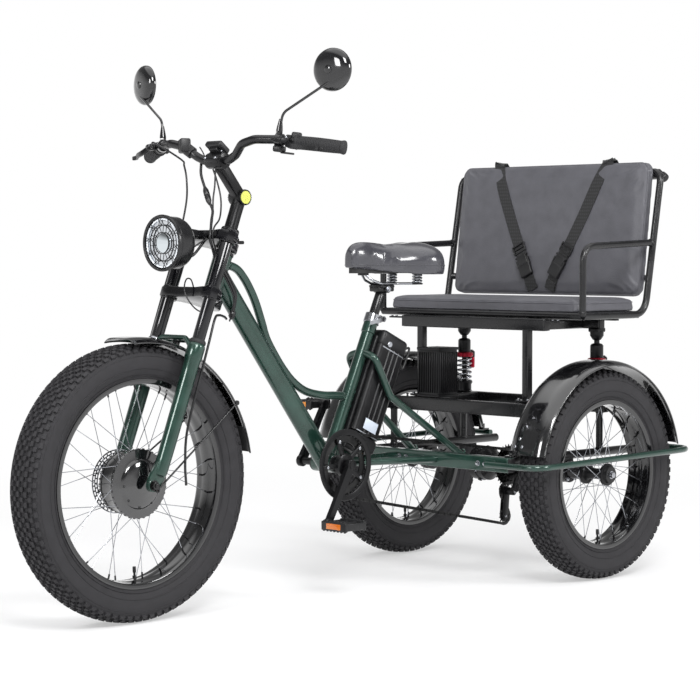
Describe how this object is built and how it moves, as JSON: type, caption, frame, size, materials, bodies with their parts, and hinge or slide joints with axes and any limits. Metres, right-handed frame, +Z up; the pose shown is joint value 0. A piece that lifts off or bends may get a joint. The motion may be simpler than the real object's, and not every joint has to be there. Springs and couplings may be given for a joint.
{
  "type": "electric tricycle",
  "caption": "Pedal-assisted electric tricycle with fat tyres, a step-through frame, a hub motor in the steered wheel and a padded passenger bench over the rear axle.",
  "frame": {"origin": "middle of the bounding box on the ground", "axes": "+X forward along the length, +Y to the rider's left, +Z up"},
  "size_m": [2.0462, 0.927, 1.4073],
  "materials": {
    "green_paint": "satin metallic",
    "black_paint": "satin",
    "gloss_black": "gloss",
    "black_plastic": "matt",
    "tyre_rubber": "matt",
    "grip_rubber": "matt",
    "leatherette": "grained",
    "webbing": "woven",
    "bright_steel": "bright",
    "red_paint": "gloss",
    "lamp_glass": "clear"
  },
  "bodies": {
    "chassis": {"main_frame": "green_paint", "side_guard_left": "green_paint", "side_guard_right": "green_paint", "rear_carriage": "black_paint", "bench_frame": "black_paint", "bench_cushion": "leatherette", "backrest_cushion": "leatherette", "belt_left": "webbing", "belt_right": "webbing", "shock_left": "red_paint", "shock_right": "red_paint", "seat_post": "black_paint", "saddle": "leatherette", "battery_pack": "black_plastic", "battery_dock": "black_plastic", "controller_box": "black_plastic", "rear_fender_left": "gloss_black", "rear_fender_right": "gloss_black", "drive_chain": "bright_steel", "cassette": "bright_steel", "rear_derailleur": "black_plastic", "saddle_springs": "black_paint"},
    "steering": {"fork_lowers": "green_paint", "fork_uppers": "black_paint", "stem": "black_paint", "handlebar": "black_paint", "grip_left": "grip_rubber", "grip_right": "grip_rubber", "mirror_left": "black_plastic", "mirror_right": "black_plastic", "headlight": "black_plastic", "headlight_lens": "lamp_glass", "headlight_bracket": "black_paint", "front_fender": "gloss_black", "front_caliper": "black_plastic", "display": "black_plastic", "brake_lever_left": "black_plastic", "brake_lever_right": "black_plastic", "brake_cable": "black_plastic"},
    "front_wheel": {"front_tyre": "tyre_rubber", "front_rim": "gloss_black", "hub_motor": "black_plastic", "brake_disc": "bright_steel"},
    "rear_wheel_left": {"rear_tyre_left": "tyre_rubber", "rear_rim_left": "gloss_black"},
    "rear_wheel_right": {"rear_tyre_right": "tyre_rubber", "rear_rim_right": "gloss_black"},
    "crank": {"crankset": "black_paint"},
    "pedal_left": {"pedal_left": "black_plastic"},
    "pedal_right": {"pedal_right": "black_plastic"}
  },
  "joints": [
    {"name": "steering", "type": "hinge", "parent": "chassis", "child": "steering", "pos_m": [0.60665, 0, 0.3143], "axis": [-0.3633, 0, 0.9317], "range_deg": [-40, 40]},
    {"name": "front_wheel_spin", "type": "hinge", "parent": "steering", "child": "front_wheel", "pos_m": [0.68025, 0, 0.343], "axis": [0, 1, 0], "continuous": true},
    {"name": "rear_wheel_left_spin", "type": "hinge", "parent": "chassis", "child": "rear_wheel_left", "pos_m": [-0.68275, 0.371, 0.292], "axis": [0, 1, 0], "continuous": true},
    {"name": "rear_wheel_right_spin", "type": "hinge", "parent": "chassis", "child": "rear_wheel_right", "pos_m": [-0.68275, -0.371, 0.292], "axis": [0, 1, 0], "continuous": true},
    {"name": "crank_spin", "type": "hinge", "parent": "chassis", "child": "crank", "pos_m": [0.01025, 0, 0.345], "axis": [0, 1, 0], "continuous": true},
    {"name": "pedal_left_spin", "type": "hinge", "parent": "crank", "child": "pedal_left", "pos_m": [0.09525, 0.094, 0.19778], "axis": [0, 1, 0], "continuous": true},
    {"name": "pedal_right_spin", "type": "hinge", "parent": "crank", "child": "pedal_right", "pos_m": [-0.07475, -0.094, 0.49222], "axis": [0, 1, 0], "continuous": true}
  ]
}
